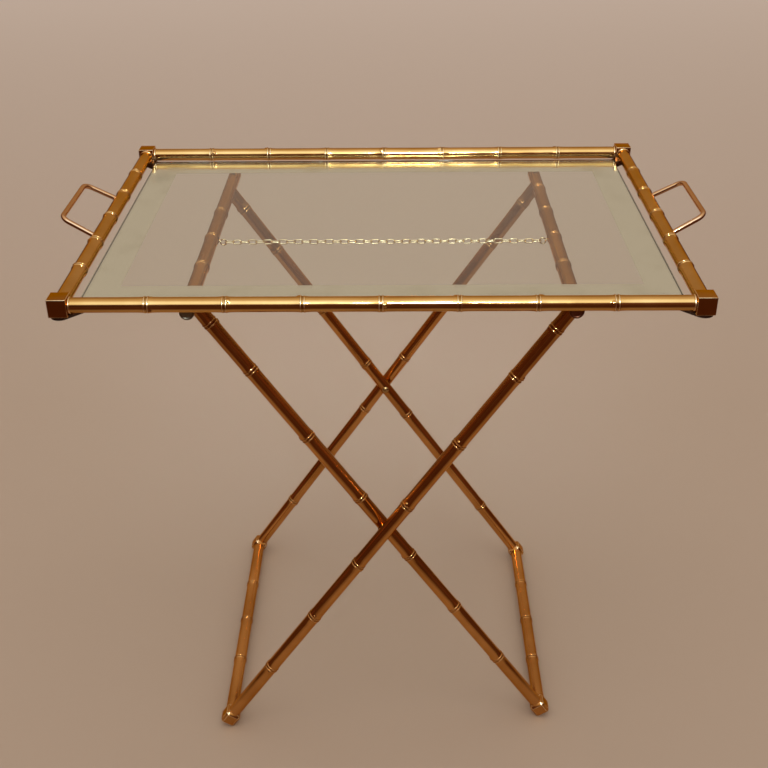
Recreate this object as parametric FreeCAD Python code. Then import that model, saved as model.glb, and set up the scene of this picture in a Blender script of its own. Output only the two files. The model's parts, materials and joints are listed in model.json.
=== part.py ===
import FreeCAD, Part
import os
from math import cos, hypot, radians, sin, sqrt
from FreeCAD import Placement, Rotation, Vector

# Folding brass tray table: a glass tray on two tube frames that cross like an X.
# Millimetres. Origin on the floor under the middle of the tray; +X right, +Y back, +Z up.

# Tube, ringed like bamboo
tube_radius = 8.0
tube_wall = 1.5
ring_radius = 9.0
ring_half_width = 1.2       # of one ring
ring_offset = 1.3           # a node is two rings, this far either side of its middle

# Gaps
joint_gap = 0.02            # between soldered pieces
running_gap = 0.05          # between pieces that turn or slide

# Tray
tray_width = 660.0          # between the corner blocks' centres, along X
tray_depth = 480.0          # the same along Y
tray_top = 638.0
block_side = 20.0
block_edge = 0.6
long_internodes = 8
short_internodes = 6
glass_thickness = 5.0
glass_margin = 14.0         # rail axis to glass edge
glass_edge = 0.6
mirror_side_width = 36.0    # the silvering along the left and right edges
mirror_end_width = 46.0     # and along the front and back ones
mirror_thickness = 0.3

# Corner tabs and their screws
tab_width = 20.0
tab_reach = 30.0            # between the centres of the tab's two round ends
tab_thickness = 3.0
screw_radius = 2.0
screw_head_radius = 4.0
screw_head_height = 2.0
screw_length = 11.0
slot_width = 1.0
slot_depth = 0.8

# Handles
handle_rod_radius = 3.0
handle_out = 41.0           # rail axis to the grip's axis, along X
handle_rise = 23.0          # the same, upwards
handle_foot_half = 61.0     # middle to where an arm meets the rail
handle_grip_half = 56.5     # middle to the corner
handle_bend_radius = 11.0

# Stand
lean = 34.35                # each frame's lean from upright, degrees
stand_y = -26.0             # the stand's middle
outer_half_depth = 182.0    # the stand's middle to an outer leg's axis
washer_thickness = 1.0
foot_chamfer = 3.0
leg_nodes = (105.0, 207.0, 307.0, 411.0, 514.0, 620.0, 691.0)   # from the foot's centre
bar_front = -222.0
bar_back = 200.0
bar_node_pitch = 82.0
bar_first_node = -194.0
bar_node_count = 5          # on the right bar; the left one has no first or last node
cap_thickness = 2.0
cap_edge = 0.7
bottom_node_pitch = 80.0

# Pivots
pin_radius = 3.0
pin_head_radius = 5.0
pin_head_height = 2.4
washer_radius = 7.0
pin_in_outer_leg = 12.0

# Chain between the two top bars
chain_drop = 5.0            # below the bars' axis
eye_radius = 3.6            # of the ring's wire axis
eye_wire_radius = 0.9
eye_neck = 1.5              # bar to ring
neck_radius = 1.3
link_count = 41
left_link_count = 21
link_width = 6.5
link_wire_radius = 0.75

# Worked out from the above
x_side, y_side = tray_width / 2, tray_depth / 2
half_block = block_side / 2
rail_z = tray_top - half_block
glass_z = tray_top - block_side
glass_x, glass_y = x_side - glass_margin, y_side - glass_margin
lean_rad = radians(lean)
foot_z = half_block * cos(lean_rad) + (half_block - foot_chamfer) * sin(lean_rad)
bar_z = glass_z - ring_radius - running_gap
leg_length = (bar_z - foot_z) / cos(lean_rad)
half_spread = leg_length * sin(lean_rad) / 2
pivot_z = (foot_z + bar_z) / 2
leg_step = 2 * tube_radius + washer_thickness
inner_half_depth = outer_half_depth - leg_step
eye_reach = tube_radius + eye_neck + eye_radius + eye_wire_radius
eye_x = half_spread - sqrt(eye_reach ** 2 - chain_drop ** 2)
chain_z = bar_z - chain_drop


def cylinder(radius, length, start, direction):
    return Part.makeCylinder(radius, length, start, direction)


def aim(shape, start, direction):
    """Puts a shape made along +Z at start, pointing along direction."""
    shape.Placement = Placement(start, Rotation(Vector(0, 0, 1), direction))
    return shape


def ringed_tube(length, nodes, collars=()):
    """A hollow tube along +Z with a pair of rings at each node and one ring at each collar."""
    rings = sorted([z + side * ring_offset for z in nodes for side in (-1, 1)] + list(collars))
    bore = tube_radius - tube_wall
    at = Vector(tube_radius, 0, 0)
    edges = [Part.LineSegment(Vector(bore, 0, 0), at).toShape()]
    for z in rings:
        low = Vector(tube_radius, 0, z - ring_half_width)
        high = Vector(tube_radius, 0, z + ring_half_width)
        edges.append(Part.LineSegment(at, low).toShape())
        edges.append(Part.Arc(low, Vector(ring_radius, 0, z), high).toShape())
        at = high
    end, inside = Vector(tube_radius, 0, length), Vector(bore, 0, length)
    edges.append(Part.LineSegment(at, end).toShape())
    edges.append(Part.LineSegment(end, inside).toShape())
    edges.append(Part.LineSegment(inside, Vector(bore, 0, 0)).toShape())
    return Part.Face(Part.Wire(edges)).revolve(Vector(0, 0, 0), Vector(0, 0, 1), 360)


def rail(start, direction, length, internodes):
    nodes = [length * i / internodes for i in range(1, internodes)]
    inset = ring_half_width + running_gap
    return aim(ringed_tube(length, nodes, (inset, length - inset)), start, direction)


def rails():
    long_length = tray_width - block_side
    short_length = tray_depth - block_side
    along_x, along_y = Vector(1, 0, 0), Vector(0, 1, 0)
    made = {}
    for name, y in (("front_rail", -y_side), ("back_rail", y_side)):
        made[name] = rail(Vector(-long_length / 2, y, rail_z), along_x, long_length, long_internodes)
    for name, x in (("left_rail", -x_side), ("right_rail", x_side)):
        made[name] = rail(Vector(x, -short_length / 2, rail_z), along_y, short_length, short_internodes)
    return made


def screw(gap):
    """A countersunk screw with its head down at z = 0; the gap makes the hole for one."""
    head = Part.makeCone(screw_head_radius + gap, screw_radius + gap, screw_head_height)
    return head.fuse(Part.makeCylinder(screw_radius + gap, screw_length + gap))


def slotted_screw():
    slot = Part.makeBox(4 * screw_head_radius, slot_width, 2 * slot_depth)
    slot.translate(Vector(-2 * screw_head_radius, -slot_width / 2, -slot_depth))
    return screw(0).cut(slot)


def corner_tab():
    """A round-ended bar from the origin along +X, with the screw's hole through it."""
    bar = Part.makeCylinder(tab_width / 2, tab_thickness)
    bar = bar.fuse(Part.makeCylinder(tab_width / 2, tab_thickness, Vector(tab_reach, 0, 0)))
    middle = Part.makeBox(tab_reach, tab_width, tab_thickness)
    middle.translate(Vector(0, -tab_width / 2, 0))
    return bar.fuse(middle).removeSplitter().cut(screw(running_gap))


def corner_block():
    block = Part.makeBox(block_side, block_side, block_side)
    block.translate(Vector(-half_block, -half_block, 0))
    return block.makeFillet(block_edge, block.Edges)


def corners():
    """The four blocks, the tabs under them and the screws."""
    made, screws = {}, []
    for depth_name, y_sign in (("front", -1), ("back", 1)):
        for width_name, x_sign in (("left", -1), ("right", 1)):
            under = Vector(x_sign * x_side, y_sign * y_side, glass_z - tab_thickness)
            hole = screw(running_gap)
            hole.translate(under)
            block = corner_block()
            block.translate(Vector(under.x, under.y, glass_z))
            tab = aim_flat(corner_tab(), under, Vector(-x_sign, -y_sign, 0))
            made["corner_block_%s_%s" % (depth_name, width_name)] = block.cut(hole)
            made["corner_tab_%s_%s" % (depth_name, width_name)] = tab
            screws.append(aim_flat(slotted_screw(), under, Vector(-x_sign, y_sign, 0)))
    made["tab_screws"] = Part.makeCompound(screws)
    return made


def aim_flat(shape, start, direction):
    """Puts a shape made along +X at start, turned level to point along direction."""
    shape.Placement = Placement(start, Rotation(Vector(1, 0, 0), direction))
    return shape


def plate(half_x, half_y, thickness):
    made = Part.makeBox(2 * half_x, 2 * half_y, thickness)
    made.translate(Vector(-half_x, -half_y, glass_z))
    return made


def mirror_border():
    """The silvered layer under the glass's outer zone."""
    whole = plate(glass_x, glass_y, mirror_thickness)
    return whole.cut(plate(glass_x - mirror_side_width, glass_y - mirror_end_width, mirror_thickness))


def glass_panel():
    glass = plate(glass_x, glass_y, glass_thickness)
    top = [edge for edge in glass.Edges if edge.BoundBox.ZMin > glass_z + mirror_thickness]
    return glass.makeChamfer(glass_edge, top).cut(mirror_border())


def rounded_path(points, radius):
    """A wire of straight runs through the points, with an arc at each corner."""
    edges, at = [], points[0]
    for before, corner, after in zip(points, points[1:], points[2:]):
        back = (before - corner).normalize()
        ahead = (after - corner).normalize()
        half_turn = back.getAngle(ahead) / 2
        start = corner + back * (radius * cos(half_turn) / sin(half_turn))
        end = corner + ahead * (radius * cos(half_turn) / sin(half_turn))
        inwards = (back + ahead).normalize()
        middle = corner + inwards * (radius / sin(half_turn) - radius)
        edges.append(Part.LineSegment(at, start).toShape())
        edges.append(Part.Arc(start, middle, end).toShape())
        at = end
    edges.append(Part.LineSegment(at, points[-1]).toShape())
    return Part.Wire(edges)


def handle():
    """The right handle: a bent rod that rises outwards from the side rail."""
    reach = hypot(handle_out, handle_rise)
    points = [Vector(0, -handle_foot_half, 0), Vector(reach, -handle_grip_half, 0),
              Vector(reach, handle_grip_half, 0), Vector(0, handle_foot_half, 0)]
    path = rounded_path(points, handle_bend_radius)
    ring = Part.Wire(Part.makeCircle(handle_rod_radius, points[0], points[1] - points[0]))
    rod = path.makePipeShell([ring], True, False)
    tilt = Rotation(Vector(1, 0, 0), Vector(handle_out, 0, handle_rise))
    rod.Placement = Placement(Vector(x_side, 0, rail_z), tilt)
    rail_start = Vector(x_side, -y_side, rail_z)
    return rod.cut(cylinder(tube_radius + joint_gap, tray_depth, rail_start, Vector(0, 1, 0)))


def handles():
    right = handle()
    return {"handle_right": right, "handle_left": right.mirror(Vector(0, 0, 0), Vector(1, 0, 0))}


def foot_block(foot, side):
    cube = Part.makeBox(block_side, block_side, block_side)
    cube.translate(Vector(-half_block, -half_block, -half_block))
    cube = cube.makeChamfer(foot_chamfer, cube.Edges)
    cube.Placement = Placement(foot, Rotation(Vector(0, 1, 0), side * lean))
    return cube


def leg(foot, side):
    """A tube from its foot block to the top bar; side is +1 if it leans towards +X."""
    along = Vector(side * sin(lean_rad), 0, cos(lean_rad))
    tube = ringed_tube(leg_length - half_block, [z - half_block for z in leg_nodes])
    tube = aim(tube, foot + along * half_block, along)
    bar_axis = Vector(side * half_spread, foot.y - block_side, bar_z)
    return tube.cut(cylinder(tube_radius + joint_gap, 2 * block_side, bar_axis, Vector(0, 1, 0)))


def pin_hole(start, end):
    """The hole for a pivot pin, from one Y to another."""
    return cylinder(pin_radius + running_gap, end - start, Vector(0, start, pivot_z), Vector(0, 1, 0))


def top_bar(side, nodes):
    start, length = bar_front + cap_thickness, bar_back - bar_front - 2 * cap_thickness
    tube = ringed_tube(length, [y - start for y in nodes])
    bar = aim(tube, Vector(side * half_spread, start, bar_z), Vector(0, 1, 0))
    caps = []
    for y, outwards in ((start, -1), (start + length, 1)):
        cap = Part.makeCylinder(tube_radius, cap_thickness)
        rim = [edge for edge in cap.Edges if edge.BoundBox.ZMin > cap_thickness / 2]
        cap = cap.makeFillet(cap_edge, rim)
        caps.append(aim(cap, Vector(side * half_spread, y, bar_z), Vector(0, outwards, 0)))
    return bar, Part.makeCompound(caps)


def bottom_bar(x, half_depth, end_gap):
    """The bar between two foot blocks."""
    half = half_depth - half_block - end_gap
    tube = ringed_tube(2 * half, [half + i * bottom_node_pitch for i in (-1, 0, 1)])
    return aim(tube, Vector(x, stand_y - half, foot_z), Vector(0, 1, 0))


def frame(name, bar_name, side, half_depth, end_gap, bar_nodes):
    """One frame of the stand: two legs, two foot blocks, a top bar and a bottom bar."""
    made = {}
    for place, y in (("front", stand_y - half_depth), ("back", stand_y + half_depth)):
        foot = Vector(-side * half_spread, y, foot_z)
        made["%s_%s_leg" % (name, place)] = leg(foot, side)
        made["%s_%s_foot" % (name, place)] = foot_block(foot, side)
    bar, caps = top_bar(side, bar_nodes)
    made[bar_name + "_top_bar"] = bar
    made[bar_name + "_bar_caps"] = caps
    made[name + "_bottom_bar"] = bottom_bar(-side * half_spread, half_depth, end_gap)
    return made


def drill_legs(made):
    """Pin holes: right through the inner legs, through the near wall only of the outer ones."""
    for place, sign in (("front", -1), ("back", 1)):
        inner_y = stand_y + sign * inner_half_depth
        outer_y = stand_y + sign * outer_half_depth
        through = pin_hole(inner_y - ring_radius, inner_y + ring_radius)
        near = sorted((outer_y - sign * ring_radius, outer_y + sign * (tube_radius - 2 * tube_wall)))
        made["inner_%s_leg" % place] = made["inner_%s_leg" % place].cut(through)
        made["outer_%s_leg" % place] = made["outer_%s_leg" % place].cut(pin_hole(*near))


def pivots():
    """Domed pins, put in from the inner legs' side, and the washers between the legs."""
    made, washers = {}, []
    for place, sign in (("front", -1), ("back", 1)):
        outwards = Vector(0, sign, 0)
        inner_y = stand_y + sign * inner_half_depth
        head_y = inner_y - sign * (tube_radius + running_gap)
        washer_y = inner_y + sign * (tube_radius + running_gap)
        length = 2 * tube_radius + washer_thickness + pin_in_outer_leg
        shank = cylinder(pin_radius, length, Vector(0, head_y, pivot_z), outwards)
        made[place + "_pivot_pin"] = shank.fuse(dome(Vector(0, head_y, pivot_z), -outwards))
        thickness = washer_thickness - 2 * running_gap
        washer = cylinder(washer_radius, thickness, Vector(0, washer_y, pivot_z), outwards)
        washers.append(washer.cut(pin_hole(washer_y - block_side, washer_y + block_side)))
    made["pivot_washers"] = Part.makeCompound(washers)
    return made


def dome(start, direction):
    """A rivet's domed head: a cap of a ball, its flat side at start."""
    ball = (pin_head_radius ** 2 + pin_head_height ** 2) / (2 * pin_head_height)
    sphere = Part.makeSphere(ball, Vector(0, 0, pin_head_height - ball))
    keep = Part.makeCylinder(pin_head_radius + running_gap, pin_head_height)
    return aim(sphere.common(keep), start, direction)


def chain_eye(side):
    """The ring that the chain hangs from, on a short neck at the bar's inner side."""
    ring_at = Vector(side * eye_x, stand_y, chain_z)
    bar_at = Vector(side * half_spread, stand_y, bar_z)
    ring = Part.makeTorus(eye_radius, eye_wire_radius, ring_at, Vector(0, 1, 0))
    towards = ring_at - bar_at
    neck = cylinder(neck_radius, eye_reach - eye_radius, bar_at, towards)
    bar = cylinder(tube_radius + joint_gap, block_side, bar_at - Vector(0, half_block, 0), Vector(0, 1, 0))
    return ring.fuse(neck).cut(bar)


def chain_link(half_length):
    """A round-ended link along X, flat in XY; half_length is to the wire's axis at its end."""
    bend = link_width / 2 - link_wire_radius
    straight = half_length - bend
    link = None
    for sign in (-1, 1):
        end = Part.makeTorus(bend, link_wire_radius, Vector(0, 0, 0), Vector(0, 0, 1), 0, 360, 180)
        end.rotate(Vector(0, 0, 0), Vector(0, 0, 1), -90 * sign)
        end.translate(Vector(sign * straight, 0, 0))
        side = cylinder(link_wire_radius, 2 * straight, Vector(-straight, sign * bend, 0), Vector(1, 0, 0))
        piece = end.fuse(side)
        link = piece if link is None else link.fuse(piece)
    return link.removeSplitter()


def chain_halves():
    """Links in a straight line between the two eyes, every other one turned on edge."""
    overlap = 2 * link_wire_radius + running_gap
    in_eye = eye_radius - eye_wire_radius - link_wire_radius - running_gap
    end_x = eye_x - in_eye
    half_length = (2 * end_x + (link_count - 1) * overlap) / (2 * link_count)
    pitch = 2 * half_length - overlap
    links = []
    for i in range(link_count):
        link = chain_link(half_length)
        link.rotate(Vector(0, 0, 0), Vector(1, 0, 0), 90 * (i % 2))
        link.translate(Vector(half_length - end_x + i * pitch, stand_y, chain_z))
        links.append(link)
    return {"chain_left_half": Part.makeCompound(links[:left_link_count]),
            "chain_right_half": Part.makeCompound(links[left_link_count:])}


def stand():
    nodes = [bar_first_node + i * bar_node_pitch for i in range(bar_node_count)]
    made = frame("outer", "right", 1, outer_half_depth, running_gap, nodes)
    made.update(frame("inner", "left", -1, inner_half_depth, 0, nodes[1:-1]))
    drill_legs(made)
    made.update(pivots())
    made["left_chain_eye"] = chain_eye(-1)
    made["right_chain_eye"] = chain_eye(1)
    made.update(chain_halves())
    return made


def all_nodes():
    made = rails()
    made.update(corners())
    made.update({"glass_panel": glass_panel(), "mirror_border": mirror_border()})
    made.update(handles())
    made.update(stand())
    return made


os.makedirs("parts", exist_ok=True)
for node, shape in all_nodes().items():
    shape.exportStep("parts/%s.step" % node)
    box = shape.BoundBox
    print("%-26s %2d solid(s) valid %s  %9.1f mm3  X %.1f..%.1f  Y %.1f..%.1f  Z %.1f..%.1f" % (
        node, len(shape.Solids), shape.isValid(), shape.Volume,
        box.XMin, box.XMax, box.YMin, box.YMax, box.ZMin, box.ZMax))
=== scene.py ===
import json
import random
from math import atan2, cos, exp, pi, radians, sin, sqrt, tan

import bmesh
import bpy
from mathutils import Matrix, Vector


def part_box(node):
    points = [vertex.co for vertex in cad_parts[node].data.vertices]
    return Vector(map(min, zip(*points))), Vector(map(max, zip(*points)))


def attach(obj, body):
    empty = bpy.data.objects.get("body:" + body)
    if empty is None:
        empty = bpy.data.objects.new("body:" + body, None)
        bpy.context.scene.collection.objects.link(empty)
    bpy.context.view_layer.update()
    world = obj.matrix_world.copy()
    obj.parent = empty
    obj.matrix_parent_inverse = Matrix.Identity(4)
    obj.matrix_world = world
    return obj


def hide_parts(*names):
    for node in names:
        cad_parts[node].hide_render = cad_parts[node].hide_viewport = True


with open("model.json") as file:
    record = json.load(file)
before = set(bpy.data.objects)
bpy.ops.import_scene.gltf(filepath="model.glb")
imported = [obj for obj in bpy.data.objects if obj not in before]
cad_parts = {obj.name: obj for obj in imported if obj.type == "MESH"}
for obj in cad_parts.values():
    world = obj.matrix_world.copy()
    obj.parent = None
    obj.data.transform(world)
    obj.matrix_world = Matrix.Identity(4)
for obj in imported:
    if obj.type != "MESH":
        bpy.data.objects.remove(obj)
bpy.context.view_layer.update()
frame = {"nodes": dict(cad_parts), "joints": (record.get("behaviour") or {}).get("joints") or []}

# Metres, in the CAD part's own frame: +X right, +Y back, +Z up, origin on the floor.
TUBE_RADIUS = 0.008
RING_RADIUS = 0.009
COLLAR_HALF_WIDTH = 0.0012
RING_HALF_WIDTH = 0.0009
RING_OFFSET = 0.0019            # a node is two fine rings, this far either side of its middle
RING_STAND = 0.0005             # how far a ring stands above the swelling under it
SWELL = 0.0004                  # how far the tube swells at a node
SWELL_REACH = 0.0060
BUD_HEIGHT = 0.0009
BUD_HALF_LENGTH = 0.0031
BUD_HALF_WIDTH = 0.0026
BUD_OFFSET = 0.0040             # from the node's middle
BUD_SPREAD = 1.9                # radians either side of the way the buds face
TUBE_SIDES = 56
CURVE_STEPS = 8                 # of a half circle: a ring, a collar or a link's end
GROOVE_SAMPLES = (0.0, 0.0005)  # offsets from a node's middle where its profile is sampled
BUD_SAMPLES = tuple(0.0031 + 0.0005 * i for i in range(9))
SWELL_SAMPLES = (0.0083, 0.0098, 0.012, 0.015, 0.019)
LONG_INTERNODES = 8
SHORT_INTERNODES = 6
LEG_NODES = (0.105, 0.207, 0.307, 0.411, 0.514, 0.620, 0.691)   # from the foot's centre
BAR_FIRST_NODE = -0.194
BAR_NODE_PITCH = 0.082
BOTTOM_NODE_PITCH = 0.080
HANDLE_ROD = 0.003
HANDLE_OUT = 0.041
HANDLE_RISE = 0.023
HANDLE_FOOT_HALF = 0.061
HANDLE_GRIP_HALF = 0.0565
HANDLE_BEND = 0.011
HANDLE_BEND_STEPS = 14
HANDLE_SIDES = 32
FOOT_CHAMFER = 0.003
FOOT_SOFTNESS = 0.0004          # of a foot block's edges
BLOCK_SOFTNESS = 0.0006         # and of a corner block's
EYE_RADIUS = 0.0036
EYE_WIRE = 0.0009
LINK_COUNT = 41
LEFT_LINKS = 21
LINK_WIDTH = 0.0065
LINK_WIRE = 0.00075
LINK_SIDES = 12
LINK_WOBBLE = 7                 # degrees either way
PLAY = 0.00005
MIRROR_SIDE_WIDTH = 0.036       # the silvering along the left and right edges
MIRROR_END_WIDTH = 0.046        # and along the front and back ones
CAP_THICKNESS = 0.002
CAP_RIM = 0.0056                # inside this radius a cap's face is sunk
CAP_PROFILE = ((0.0, 0.0080), (0.0012, 0.0080), (0.0017, 0.0078), (0.0020, 0.0072), (0.0020, 0.0063),
               (0.0017, 0.0058), (0.0015, 0.0055), (0.0015, 0.0030), (0.0016, 0.0012))   # (out, radius)
draws = random.Random(11)


# ---------------------------------------------------------------- small helpers
def centre(node):
    low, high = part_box(node)
    return (Vector(low) + Vector(high)) / 2


def size(node):
    low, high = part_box(node)
    return Vector(high) - Vector(low)


def make_object(name, vertices, faces, material, body, stands_for=(), sharp=40):
    mesh = bpy.data.meshes.new(name)
    mesh.from_pydata([tuple(v) for v in vertices], [], faces)
    mesh.validate()
    mesh.polygons.foreach_set("use_smooth", [True] * len(mesh.polygons))
    mesh.set_sharp_from_angle(angle=radians(sharp))
    mesh.materials.append(material)
    piece = bpy.data.objects.new(name, mesh)
    bpy.context.scene.collection.objects.link(piece)
    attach(piece, body)
    if stands_for:
        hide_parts(*stands_for)
    return piece


def grid_faces(rows, sides, closed_rows=False):
    """Quads between rings of points, each ring closed on itself."""
    faces = []
    for i in range(rows if closed_rows else rows - 1):
        for k in range(sides):
            a, b = i * sides, (i + 1) % rows * sides
            n = (k + 1) % sides
            faces.append((a + k, a + n, b + n, b + k))
    return faces


# ---------------------------------------------------------------- ringed tubes
def node_height(offset):
    """How far a node stands out, at an offset from its middle: a swelling with two rings on it."""
    height = SWELL * exp(-(offset / SWELL_REACH) ** 2)
    across = (abs(offset) - RING_OFFSET) / RING_HALF_WIDTH
    return height + RING_STAND * sqrt(1 - across * across) if abs(across) < 1 else height


def node_wear_and_painted_light(offset):
    """1 on a ring's crest, for rubbed wear and a painted highlight; -1 in the groove between the rings, for
    painted shade; 0 elsewhere.
    """
    across = abs(abs(offset) - RING_OFFSET) / RING_HALF_WIDTH
    if across < 1:
        return 1 - across
    return -1.0 if abs(offset) < RING_OFFSET else 0.0


def node_offsets():
    """Where along a node the tube's profile is sampled: closely over its rings and bud."""
    offsets = [*GROOVE_SAMPLES, *BUD_SAMPLES, *SWELL_SAMPLES]
    for i in range(CURVE_STEPS + 1):
        offsets.append(RING_OFFSET - RING_HALF_WIDTH * cos(pi * i / CURVE_STEPS))
    return sorted({round(sign * o, 7) for o in offsets for sign in (-1, 1)})


def bud(along, around):
    """A small leaf bud beside a node: a smooth bump."""
    reach = (along / BUD_HALF_LENGTH) ** 2 + (around / BUD_HALF_WIDTH) ** 2
    return BUD_HEIGHT * (1 - reach) ** 2 * (1 + 2 * reach) if reach < 1 else 0.0


def tube_profile(length, nodes, collars):
    """Stations along a tube: (distance, radius, wear and painted light, nearest node)."""
    stations = [(0.0, TUBE_RADIUS, 0.0, None), (length, TUBE_RADIUS, 0.0, None)]
    for index, node in enumerate(nodes):
        for offset in node_offsets():
            at = node + offset
            if not 0 < at < length:
                continue
            stations.append((at, TUBE_RADIUS + node_height(offset), node_wear_and_painted_light(offset), index))
    for collar in collars:
        for i in range(CURVE_STEPS + 1):
            offset = -COLLAR_HALF_WIDTH * cos(pi * i / CURVE_STEPS)
            crest = sin(pi * i / CURVE_STEPS)
            radius = TUBE_RADIUS + (RING_RADIUS - TUBE_RADIUS) * crest
            # A collar's crest is marked like a ring's: rubbed wear with a painted highlight.
            stations.append((collar + offset, radius, crest, None))
    return sorted(stations, key=lambda s: s[0])


def ringed_tube(name, start, end, nodes, body, material, facing, collars=(), stands_for=""):
    """A brass tube from start to end, with rings and a bud at each node, on the side that faces out."""
    length = (end - start).length
    turn = (end - start).to_track_quat("Z", "Y").to_matrix()
    out = turn.inverted() @ Vector(facing)
    middle = atan2(out.y, out.x)
    buds = []
    for _ in nodes:
        side = draws.choice((-1, 1))
        buds.append((side * BUD_OFFSET, middle + draws.uniform(-BUD_SPREAD, BUD_SPREAD)))
    profile = tube_profile(length, nodes, collars)
    vertices, wear_and_painted_lights = [], []
    for along, radius, wear_and_painted_light, index in profile:
        for k in range(TUBE_SIDES):
            angle = 2 * pi * k / TUBE_SIDES
            r = radius
            if index is not None:
                offset, at = buds[index]
                apart = (angle - at + pi) % (2 * pi) - pi
                r += bud(along - nodes[index] - offset, apart * TUBE_RADIUS)
            vertices.append(start + turn @ Vector((r * cos(angle), r * sin(angle), along)))
            wear_and_painted_lights.append(wear_and_painted_light)
    faces = grid_faces(len(profile), TUBE_SIDES)
    last = (len(profile) - 1) * TUBE_SIDES
    faces.append(tuple(reversed(range(TUBE_SIDES))))
    faces.append(tuple(range(last, last + TUBE_SIDES)))
    piece = make_object(name, vertices, faces, material, body, [stands_for])
    # This mark drives rubbed wear with a painted highlight on the crests, and painted shade in the grooves.
    store = piece.data.attributes.new("wear_and_painted_light", "FLOAT", "POINT")
    store.data.foreach_set("value", wear_and_painted_lights)
    return piece


def make_rails():
    inset = COLLAR_HALF_WIDTH + PLAY
    for node, count, facing in (("front_rail", LONG_INTERNODES, (0, -1, 1)),
                                ("back_rail", LONG_INTERNODES, (0, 1, 1)),
                                ("left_rail", SHORT_INTERNODES, (-1, 0, 1)),
                                ("right_rail", SHORT_INTERNODES, (1, 0, 1))):
        extent, middle = size(node), centre(node)
        half = Vector((extent.x / 2, 0, 0)) if extent.x > extent.y else Vector((0, extent.y / 2, 0))
        length = 2 * half.length
        nodes = [length * i / count for i in range(1, count)]
        ringed_tube(node + "_tube", middle - half, middle + half, nodes, "tray", RAIL_BRASS, facing,
                    (inset, length - inset), node)


def make_legs():
    for name, bar in (("outer", "right_top_bar"), ("inner", "left_top_bar")):
        for place in ("front", "back"):
            outwards = -1 if (name == "outer") == (place == "front") else 1
            foot = centre("%s_%s_foot" % (name, place))
            top = Vector((centre(bar).x, foot.y, centre(bar).z))
            along = (top - foot).normalized()
            block = size("corner_block_front_left").x / 2
            nodes = [z - block for z in LEG_NODES]
            node = "%s_%s_leg" % (name, place)
            ringed_tube(node + "_tube", foot + along * block, top, nodes, name + "_frame", LEG_BRASS,
                        (0, outwards, 0), (), node)


def make_bars():
    for node, body, first, last, out in (("right_top_bar", "outer_frame", 0, 5, 1),
                                         ("left_top_bar", "inner_frame", 1, 4, -1)):
        middle, half = centre(node), Vector((0, size(node).y / 2, 0))
        start = middle - half
        nodes = [BAR_FIRST_NODE + i * BAR_NODE_PITCH - start.y for i in range(first, last)]
        ringed_tube(node + "_tube", start, middle + half, nodes, body, LEG_BRASS, (out, 0, 0), (), node)
    for node, body, out in (("outer_bottom_bar", "outer_base", -1), ("inner_bottom_bar", "inner_frame", 1)):
        middle, half = centre(node), size(node).y / 2
        nodes = [half + i * BOTTOM_NODE_PITCH for i in (-1, 0, 1)]
        reach = Vector((0, half, 0))
        ringed_tube(node + "_tube", middle - reach, middle + reach, nodes, body, LEG_BRASS, (out, 0, 0),
                    (), node)


# ---------------------------------------------------------------- blocks, feet and caps
def bevelled_block(name, middle, side, chamfer, soft, turn, body, node):
    """A cube with flat chamfers, whose every edge is then softened."""
    bm = bmesh.new()
    bmesh.ops.create_cube(bm, size=side)
    if chamfer:
        bmesh.ops.bevel(bm, geom=bm.edges[:], offset=chamfer, segments=1, affect="EDGES", profile=0.5)
    bmesh.ops.bevel(bm, geom=bm.edges[:], offset=soft, segments=3, affect="EDGES", profile=0.5)
    bmesh.ops.transform(bm, matrix=Matrix.Translation(middle) @ turn, verts=bm.verts[:])
    vertices = [v.co.copy() for v in bm.verts]
    faces = [tuple(v.index for v in f.verts) for f in bm.faces]
    bm.free()
    piece = make_object(name, vertices, faces, BLOCK_BRASS, body, [node], sharp=25)
    # Each small bevel face is marked 1: a pale edge, partly rubbed wear and partly a painted highlight.
    store = piece.data.attributes.new("wear_and_painted_light", "FLOAT", "FACE")
    store.data.foreach_set("value", [float(f.area < side * soft * 2) for f in piece.data.polygons])


def make_blocks():
    side = size("corner_block_front_left").x
    for place in ("front_left", "front_right", "back_left", "back_right"):
        node = "corner_block_" + place
        bevelled_block(node + "_solid", centre(node), side, 0, BLOCK_SOFTNESS, Matrix.Identity(4),
                       "tray", node)
    for name, bar in (("outer", "right_top_bar"), ("inner", "left_top_bar")):
        for place in ("front", "back"):
            node = "%s_%s_foot" % (name, place)
            foot = centre(node)
            lean = atan2(centre(bar).x - foot.x, centre(bar).z - foot.z)
            turn = Matrix.Rotation(lean, 4, "Y")
            bevelled_block(node + "_solid", foot, side, FOOT_CHAMFER, FOOT_SOFTNESS, turn,
                           name + "_frame", node)


def make_caps():
    """The bars' turned end caps: a raised rim round a sunken face."""
    for node, body, material in (("left_bar_caps", "inner_frame", LEFT_CAP),
                                 ("right_bar_caps", "outer_frame", RIGHT_CAP)):
        (_, front, _), (_, back, _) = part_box(node)
        middle, vertices, faces, wear_and_painted_lights = centre(node), [], [], []
        for end, out in ((front, -1), (back, 1)):
            first = len(vertices)
            for along, radius in CAP_PROFILE:
                for k in range(TUBE_SIDES):
                    angle = out * 2 * pi * k / TUBE_SIDES
                    y = end - out * (CAP_THICKNESS - along)
                    x, z = middle.x + radius * sin(angle), middle.z + radius * cos(angle)
                    vertices.append(Vector((x, y, z)))
                    # Painted shade: the raised rim is marked -1, which darkens it.
                    wear_and_painted_lights.append(-1.0 if radius > CAP_RIM else 0.0)
            last = len(vertices) - TUBE_SIDES
            faces += [tuple(first + v for v in f) for f in grid_faces(len(CAP_PROFILE), TUBE_SIDES)]
            faces.append(tuple(reversed(range(first, first + TUBE_SIDES))))
            faces.append(tuple(range(last, last + TUBE_SIDES)))
        piece = make_object(node + "_turned", vertices, faces, material, body, [node])
        store = piece.data.attributes.new("wear_and_painted_light", "FLOAT", "POINT")
        store.data.foreach_set("value", wear_and_painted_lights)


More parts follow.
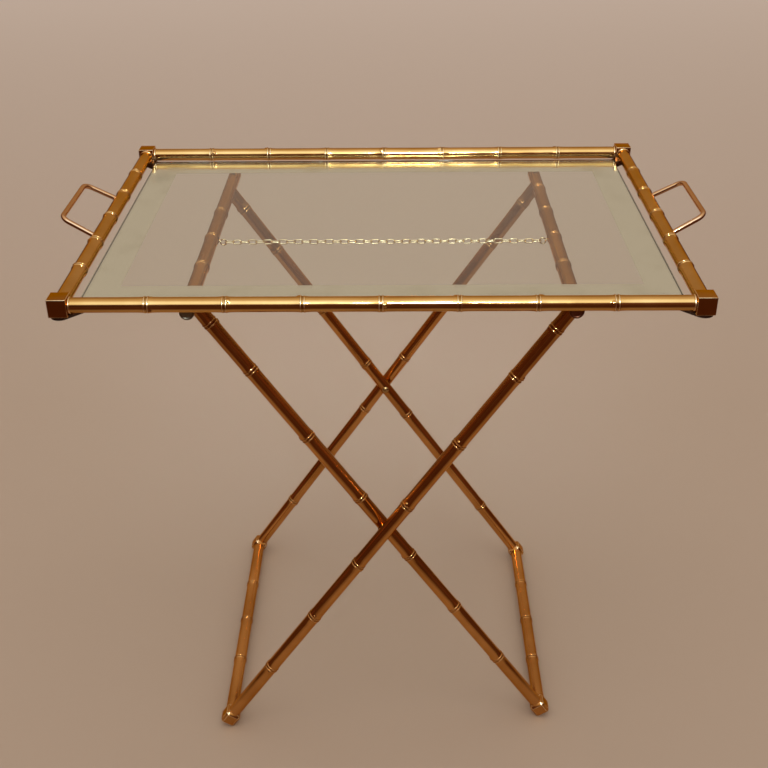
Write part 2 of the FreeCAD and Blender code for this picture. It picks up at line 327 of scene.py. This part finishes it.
# ---------------------------------------------------------------- bent rods and links
def pipe(points, radius, sides, across, closed):
    """Points and faces of a round rod along a flat path; across is the path plane's normal."""
    vertices, count = [], len(points)
    for i, point in enumerate(points):
        before = points[i - 1] if closed or i else point
        after = points[(i + 1) % count] if closed or i < count - 1 else point
        beside = across.cross(after - before).normalized()
        for k in range(sides):
            angle = 2 * pi * k / sides
            vertices.append(point + radius * (cos(angle) * beside + sin(angle) * across))
    faces = grid_faces(count, sides, closed)
    if not closed:
        last = (count - 1) * sides
        faces.append(tuple(reversed(range(sides))))
        faces.append(tuple(range(last, last + sides)))
    return vertices, faces


def rounded(points, radius, steps):
    """The points joined by straight runs, each corner turned by an arc."""
    path = [points[0]]
    for before, corner, after in zip(points, points[1:], points[2:]):
        back, ahead = (before - corner).normalized(), (after - corner).normalized()
        half = back.angle(ahead) / 2
        inwards = (back + ahead).normalized()
        middle = corner + inwards * (radius / sin(half))
        first = corner + back * (radius / tan(half)) - middle
        last = corner + ahead * (radius / tan(half)) - middle
        for i in range(steps + 1):
            path.append(middle + first.slerp(last, i / steps).normalized() * radius)
    return path + [points[-1]]


def make_handles():
    rail = centre("right_rail")
    for side, name in ((1, "handle_right"), (-1, "handle_left")):
        out = Vector((side * HANDLE_OUT, 0, HANDLE_RISE))
        base = Vector((side * rail.x, 0, rail.z))
        corners = [base + Vector((0, -HANDLE_FOOT_HALF, 0)), base + out + Vector((0, -HANDLE_GRIP_HALF, 0)),
                   base + out + Vector((0, HANDLE_GRIP_HALF, 0)), base + Vector((0, HANDLE_FOOT_HALF, 0))]
        across = out.cross(Vector((0, side, 0))).normalized()
        vertices, faces = pipe(rounded(corners, HANDLE_BEND, HANDLE_BEND_STEPS), HANDLE_ROD, HANDLE_SIDES,
                               across, False)
        make_object(name + "_rod", vertices, faces, HANDLE_BRASS, "tray", [name])


def link_path(half_length, bend):
    """A round-ended loop in the XY plane."""
    straight, points = half_length - bend, []
    for sign in (1, -1):
        for i in range(CURVE_STEPS + 1):
            angle = -pi / 2 + pi * i / CURVE_STEPS
            points.append(sign * Vector((straight + bend * cos(angle), bend * sin(angle), 0)))
    return points


def make_chain():
    eye = Vector(next(j for j in frame["joints"] if j["name"] == "chain_right_hang")["pos_m"])
    overlap = 2 * LINK_WIRE + PLAY
    end_x = eye.x - (EYE_RADIUS - EYE_WIRE - LINK_WIRE - PLAY)
    half_length = (2 * end_x + (LINK_COUNT - 1) * overlap) / (2 * LINK_COUNT)
    bend = LINK_WIDTH / 2 - LINK_WIRE
    pitch = 2 * half_length - overlap
    halves = {"left": ([], []), "right": ([], [])}
    for i in range(LINK_COUNT):
        vertices, faces = halves["left" if i < LEFT_LINKS else "right"]
        wobble = radians(draws.uniform(-LINK_WOBBLE, LINK_WOBBLE)) if 0 < i < LINK_COUNT - 1 else 0.0
        turn = Matrix.Rotation(pi / 2 * (i % 2) + wobble, 3, "X")
        shift = Vector((half_length - end_x + i * pitch, eye.y, eye.z))
        link, link_faces = pipe(link_path(half_length, bend), LINK_WIRE, LINK_SIDES, Vector((0, 0, 1)), True)
        first = len(vertices)
        vertices.extend(turn @ v + shift for v in link)
        faces.extend(tuple(first + v for v in f) for f in link_faces)
    for side, (vertices, faces) in halves.items():
        make_object("chain_%s_links" % side, vertices, faces, CHAIN_BRASS, "chain_" + side,
                    ["chain_%s_half" % side])


# ---------------------------------------------------------------- materials
def node_material(name):
    material = bpy.data.materials.new(name)
    material.use_nodes = True
    nodes = material.node_tree.nodes
    shader = nodes["Principled BSDF"]
    return material, nodes, material.node_tree.links, shader


def noise(nodes, links, coordinates, scale, detail):
    texture = nodes.new("ShaderNodeTexNoise")
    texture.inputs["Scale"].default_value = scale
    texture.inputs["Detail"].default_value = detail
    links.new(coordinates, texture.inputs["Vector"])
    return texture.outputs["Fac"]


def remap(nodes, links, value, low, high, to_low, to_high):
    """The value, moved from one range to another and kept inside it."""
    node = nodes.new("ShaderNodeMapRange")
    for key, number in zip(("From Min", "From Max", "To Min", "To Max"), (low, high, to_low, to_high)):
        node.inputs[key].default_value = number
    links.new(value, node.inputs["Value"])
    return node.outputs["Result"]


def blend_colours(nodes, links, factor, first, second):
    """A mix of two colours, each a plain colour or a socket."""
    node = nodes.new("ShaderNodeMix")
    node.data_type = "RGBA"
    links.new(factor, node.inputs["Factor"])
    for key, colour in (("A", first), ("B", second)):
        socket = [s for s in node.inputs if s.name == key and s.type == "RGBA"][0]
        if isinstance(colour, tuple):
            socket.default_value = (*colour, 1)
        else:
            links.new(colour, socket)
    return [s for s in node.outputs if s.type == "RGBA"][0]


# Painted shade: the dark colour put in the grooves between rings and on the caps' rims.
PAINTED_SHADE = (0.10, 0.04, 0.012)
# Pale crest and edge colour: partly rubbed wear, partly a painted highlight.
RUBBED_AND_HIGHLIGHT = (0.92, 0.72, 0.44)
EDGE_TINT = (0.85, 0.55, 0.30)
MOST_PAINTED_SHADE = 0.35
SCUFF_ROUGHNESS = 0.28          # how much rougher a fully rubbed crest is
DENT_STRENGTH, DENT_DEPTH = 0.14, 0.0004
DRIFT_SCALE, POLISH_SCALE, DENT_SCALE, SCUFF_SCALE = 14, 55, 60, 90


def brass(name, light, deep, smooth, dull, most_rubbed_and_highlight=0.75):
    """Polished brass: drifting colour, uneven polish, pale crests that are partly rubbed wear and partly a
    painted highlight, painted shade in the grooves.
    """
    material, nodes, links, shader = node_material(name)
    at = nodes.new("ShaderNodeTexCoord").outputs["Object"]
    drift = remap(nodes, links, noise(nodes, links, at, DRIFT_SCALE, 4), 0.35, 0.65, 0, 1)
    colour = blend_colours(nodes, links, drift, light, deep)
    wear_and_painted_light = nodes.new("ShaderNodeAttribute")
    wear_and_painted_light.attribute_name = "wear_and_painted_light"
    shade_amount = remap(nodes, links, wear_and_painted_light.outputs["Fac"], 0, -1, 0, MOST_PAINTED_SHADE)
    patchy = nodes.new("ShaderNodeMath")
    patchy.operation = "MULTIPLY"
    links.new(remap(nodes, links, wear_and_painted_light.outputs["Fac"], 0.1, 0.9, 0, most_rubbed_and_highlight), patchy.inputs[0])
    rub_and_highlight_patches = remap(nodes, links, noise(nodes, links, at, SCUFF_SCALE, 3), 0.35, 0.65, 0.5, 1)
    links.new(rub_and_highlight_patches, patchy.inputs[1])
    rubbed_and_highlight = patchy.outputs[0]
    # Painted shade wherever the mark is negative.
    colour = blend_colours(nodes, links, shade_amount, colour, PAINTED_SHADE)
    # Pale crests and edges: partly rubbed wear, partly a painted highlight.
    colour = blend_colours(nodes, links, rubbed_and_highlight, colour, RUBBED_AND_HIGHLIGHT)
    links.new(colour, shader.inputs["Base Color"])
    polish = remap(nodes, links, noise(nodes, links, at, POLISH_SCALE, 6), 0.3, 0.7, smooth, dull)
    scuffed = nodes.new("ShaderNodeMath")
    scuffed.operation = "MULTIPLY_ADD"
    scuffed.inputs[1].default_value = SCUFF_ROUGHNESS
    links.new(rubbed_and_highlight, scuffed.inputs[0])
    links.new(polish, scuffed.inputs[2])
    links.new(scuffed.outputs[0], shader.inputs["Roughness"])
    shader.inputs["Metallic"].default_value = 1
    shader.inputs["Specular Tint"].default_value = (*EDGE_TINT, 1)
    bump = nodes.new("ShaderNodeBump")
    bump.inputs["Strength"].default_value = DENT_STRENGTH
    bump.inputs["Distance"].default_value = DENT_DEPTH
    links.new(noise(nodes, links, at, DENT_SCALE, 3), bump.inputs["Height"])
    links.new(bump.outputs["Normal"], shader.inputs["Normal"])
    return material


RAIL_BRASS = brass("rail_brass", (0.67, 0.39, 0.14), (0.56, 0.30, 0.09), 0.09, 0.16)
LEG_BRASS = brass("leg_brass", (0.63, 0.30, 0.09), (0.48, 0.21, 0.055), 0.06, 0.15, 0.28)
BLOCK_BRASS = brass("block_brass", (0.53, 0.25, 0.07), (0.44, 0.19, 0.045), 0.08, 0.16)
HANDLE_BRASS = brass("handle_brass", (0.68, 0.42, 0.24), (0.58, 0.33, 0.17), 0.06, 0.13)
CHAIN_BRASS = brass("chain_brass", (0.86, 0.70, 0.44), (0.74, 0.56, 0.32), 0.10, 0.20)
# The two caps are alike; their colours differ as painted reflection: grey-green on the left, maroon-brown on
# the right.
LEFT_CAP = brass("left_cap_brass", (0.33, 0.31, 0.23), (0.24, 0.21, 0.15), 0.34, 0.46)
RIGHT_CAP = brass("right_cap_brass", (0.34, 0.15, 0.09), (0.24, 0.10, 0.06), 0.26, 0.40)
TAB_STEEL = brass("tab_steel", (0.22, 0.17, 0.14), (0.12, 0.09, 0.08), 0.20, 0.34)
FIXING_BRASS = brass("fixing_brass", (0.52, 0.34, 0.15), (0.40, 0.24, 0.09), 0.18, 0.32)


GLASS_TINT = (0.93, 0.98, 0.95)
GLASS_INDEX = 1.5
SMEAR_ROUGHNESS = 0.03
SILVER_FRESH, SILVER_AGED, SPECK = (0.93, 0.95, 0.87), (0.82, 0.83, 0.72), (0.20, 0.17, 0.11)
SMEAR_SCALE, AGE_SCALE, SPECK_SCALE = 9, 16, 330


def clear_glass():
    material, nodes, links, shader = node_material("clear_glass")
    shader.inputs["Base Color"].default_value = (*GLASS_TINT, 1)
    shader.inputs["Transmission Weight"].default_value = 1
    shader.inputs["IOR"].default_value = GLASS_INDEX
    at = nodes.new("ShaderNodeTexCoord").outputs["Object"]
    smudges = noise(nodes, links, at, SMEAR_SCALE, 5)
    smear = remap(nodes, links, smudges, 0.45, 0.75, 0.0, SMEAR_ROUGHNESS)
    links.new(smear, shader.inputs["Roughness"])
    return material


def silvering():
    material, nodes, links, shader = node_material("silvering")
    at = nodes.new("ShaderNodeTexCoord").outputs["Object"]
    age = remap(nodes, links, noise(nodes, links, at, AGE_SCALE, 8), 0.50, 0.78, 0, 1)
    colour = blend_colours(nodes, links, age, SILVER_FRESH, SILVER_AGED)
    specks = remap(nodes, links, noise(nodes, links, at, SPECK_SCALE, 5), 0.70, 0.76, 0, 1)
    links.new(blend_colours(nodes, links, specks, colour, SPECK), shader.inputs["Base Color"])
    shader.inputs["Metallic"].default_value = 1
    links.new(remap(nodes, links, age, 0, 1, 0.03, 0.16), shader.inputs["Roughness"])
    return material


GLASS = clear_glass()
SILVER = silvering()


def make_mirror_border():
    """The silvering: a thin frame whose top reaches just into the glass, so the two never share a face."""
    low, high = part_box("mirror_border")
    inner_x, inner_y = high[0] - MIRROR_SIDE_WIDTH, high[1] - MIRROR_END_WIDTH
    vertices, faces = [], []
    for z in (low[2], high[2] + PLAY):
        for x, y in ((high[0] - PLAY, high[1] - PLAY), (inner_x, inner_y)):
            vertices += [Vector((sx * x, sy * y, z)) for sx, sy in ((-1, -1), (1, -1), (1, 1), (-1, 1))]
    for k in range(4):
        n = (k + 1) % 4
        faces += [(8 + k, 8 + n, 12 + n, 12 + k), (k, 4 + k, 4 + n, n)]
        faces += [(k, n, 8 + n, 8 + k), (4 + k, 12 + k, 12 + n, 4 + n)]
    make_object("mirror_border_layer", vertices, faces, SILVER, "tray", ["mirror_border"])


def paint_cad_nodes():
    """The CAD pieces that stay get their materials."""
    for node, piece in frame["nodes"].items():
        for word, material in (("corner_tab", TAB_STEEL), ("tab_screws", FIXING_BRASS),
                               ("pivot", FIXING_BRASS), ("chain_eye", CHAIN_BRASS), ("glass_panel", GLASS)):
            if word in node:
                for slot in piece.material_slots:
                    slot.material = material
    frame["nodes"]["glass_panel"].visible_shadow = False


# ---------------------------------------------------------------- stage
MAROON = (0.105, 0.038, 0.016)   # the dim side of the studio, in front and at the sides
WALL = (0.47, 0.36, 0.27)        # its pale side, behind
CEILING = (0.98, 0.90, 0.74)
GLOW = (1.7, 2.1, 2.6)           # the brightest part of the ceiling, in front and above
FLOOR = (0.60, 0.51, 0.43)
# Painted light: the floor is paler further back, to even out the lamps' falloff.
FAR_FLOOR = (0.90, 0.84, 0.80)
SHADE = (0.13, 0.05, 0.022)      # the floor away from the table, as the brass mirrors it
BACKDROP = (0.42, 0.34, 0.28)
MORE_THAN_BOUNCES = 100          # takes any number of shiny bounces below 0
FLOOR_HALF = 12
CEILING_TILT = radians(40)       # its brightest part, forwards from straight up
CEILING_FROM, CEILING_FULL = sin(radians(22)), sin(radians(31))
DIFFUSE_BOOST = 1.3              # of the studio, where it lights matt surfaces
OVERHEAD_POWER, KEY_POWER = 13, 26


def flat_sheet(name, low, high, z, material):
    """A level sheet that belongs to the stage."""
    mesh = bpy.data.meshes.new(name)
    corners = [(low[0], low[1], z), (high[0], low[1], z), (high[0], high[1], z), (low[0], high[1], z)]
    mesh.from_pydata(corners, [], [(0, 1, 2, 3)])
    mesh.materials.append(material)
    sheet = bpy.data.objects.new(name, mesh)
    bpy.context.scene.collection.objects.link(sheet)
    return sheet


def only_mirrored(nodes, links):
    """1 for a ray that something shiny has reflected, also if it passed glass; 0 for all others."""
    rays = nodes.new("ShaderNodeLightPath")
    node = nodes.new("ShaderNodeMath")
    node.operation = "MULTIPLY_ADD"
    node.use_clamp = True
    node.inputs[1].default_value = -MORE_THAN_BOUNCES
    links.new(rays.outputs["Is Diffuse Ray"], node.inputs[0])
    links.new(rays.outputs["Glossy Depth"], node.inputs[2])
    return node.outputs[0]


def make_stage():
    """A plain pale floor, whose front the brass mirrors as dim as the studio there."""
    pale, nodes, links, shader = node_material("floor")
    split = nodes.new("ShaderNodeSeparateXYZ")
    links.new(nodes.new("ShaderNodeTexCoord").outputs["Object"], split.inputs[0])
    front = remap(nodes, links, split.outputs["Y"], -0.45, -0.95, 0, 1)
    sideways = nodes.new("ShaderNodeMath")
    sideways.operation = "ABSOLUTE"
    links.new(split.outputs["X"], sideways.inputs[0])
    away = nodes.new("ShaderNodeMath")
    away.operation = "MAXIMUM"
    links.new(front, away.inputs[0])
    links.new(remap(nodes, links, sideways.outputs[0], 0.35, 1.0, 0, 1), away.inputs[1])
    # Painted light: paler further back, evening out the lamps' falloff.
    far = remap(nodes, links, split.outputs["Y"], 0.6, 4.5, 0, 1)
    seen = blend_colours(nodes, links, far, FLOOR, FAR_FLOOR)
    mirrored = blend_colours(nodes, links, away.outputs[0], seen, SHADE)
    links.new(blend_colours(nodes, links, only_mirrored(nodes, links), seen, mirrored),
              shader.inputs["Base Color"])
    shader.inputs["Roughness"].default_value = 0.85
    shader.inputs["Specular IOR Level"].default_value = 0.1
    flat_sheet("floor", (-FLOOR_HALF, -FLOOR_HALF), (FLOOR_HALF, FLOOR_HALF), 0, pale)


def area_light(name, place, target, width, depth, power, colour):
    data = bpy.data.lights.new(name, "AREA")
    data.shape, data.size, data.size_y = "RECTANGLE", width, depth
    data.energy, data.color = power, colour
    light = bpy.data.objects.new(name, data)
    light.location = place
    light.rotation_euler = (Vector(target) - Vector(place)).to_track_quat("-Z", "Y").to_euler()
    bpy.context.scene.collection.objects.link(light)
    return light


def make_lights():
    """A soft light overhead, a small key light beside the camera, and the studio around them."""
    overhead = area_light("overhead", (0, -0.2, 2.8), (0, 0, 0.3), 2.6, 2.4, OVERHEAD_POWER,
                          (1.0, 0.90, 0.80))
    overhead.visible_glossy = False
    key = area_light("key", (0.09, -1.27, 1.47), (0, 0, 0.5), 0.18, 0.18, KEY_POWER, (0.85, 0.95, 1.0))
    key.visible_diffuse = False
    world = bpy.data.worlds.new("studio")
    world.use_nodes = True
    nodes, links = world.node_tree.nodes, world.node_tree.links
    background = nodes["Background"]
    direction = nodes.new("ShaderNodeTexCoord").outputs["Generated"]
    split = nodes.new("ShaderNodeSeparateXYZ")
    links.new(direction, split.inputs[0])
    patches = remap(nodes, links, noise(nodes, links, direction, 2.6, 3), 0.35, 0.65, 0, 1)
    darker, lighter = tuple(0.5 * c for c in MAROON), tuple(1.9 * c for c in MAROON)
    dim = blend_colours(nodes, links, patches, darker, lighter)
    behind = remap(nodes, links, split.outputs["Y"], 0.30, 0.80, 0, 1)
    walls = blend_colours(nodes, links, behind, dim, WALL)
    towards = nodes.new("ShaderNodeVectorMath")
    towards.operation = "DOT_PRODUCT"
    towards.inputs[1].default_value = (0, -sin(CEILING_TILT), cos(CEILING_TILT))
    links.new(direction, towards.inputs[0])
    rise = remap(nodes, links, towards.outputs["Value"], 0.05, 0.80, 0, 1)
    peak = remap(nodes, links, towards.outputs["Value"], 0.80, 0.99, 0, 1)
    ceiling = blend_colours(nodes, links, peak, blend_colours(nodes, links, rise, WALL, CEILING), GLOW)
    above = remap(nodes, links, split.outputs["Z"], CEILING_FROM, CEILING_FULL, 0, 1)
    seen_in_brass = blend_colours(nodes, links, above, walls, ceiling)
    rays = nodes.new("ShaderNodeLightPath")
    colour = blend_colours(nodes, links, only_mirrored(nodes, links), BACKDROP, seen_in_brass)
    links.new(colour, background.inputs["Color"])
    links.new(remap(nodes, links, rays.outputs["Is Diffuse Ray"], 0, 1, 1, DIFFUSE_BOOST),
              background.inputs["Strength"])
    bpy.context.scene.world = world
    bpy.context.scene.view_settings.view_transform = "Standard"


CAMERA_PLACE = (0.0141, -1.2747, 1.1273)
CAMERA_PITCH, CAMERA_YAW, CAMERA_ROLL = 0.5209, -0.0115, -0.0091   # radians
CAMERA_LENS, CAMERA_SENSOR = 52.6, 36


def make_camera():
    """At the photograph's viewing angle."""
    data = bpy.data.cameras.new("camera")
    data.sensor_width = CAMERA_SENSOR
    data.lens = CAMERA_LENS
    camera = bpy.data.objects.new("camera", data)
    turn = Matrix.Rotation(-CAMERA_YAW, 4, "Z") @ Matrix.Rotation(pi / 2 - CAMERA_PITCH, 4, "X")
    aim = turn @ Matrix.Rotation(CAMERA_ROLL, 4, "Z")
    camera.matrix_world = Matrix.Translation(CAMERA_PLACE) @ aim
    bpy.context.scene.collection.objects.link(camera)
    bpy.context.scene.camera = camera


make_camera()
make_stage()
make_lights()
make_rails()
make_legs()
make_bars()
make_blocks()
make_caps()
make_handles()
make_chain()
make_mirror_border()
paint_cad_nodes()
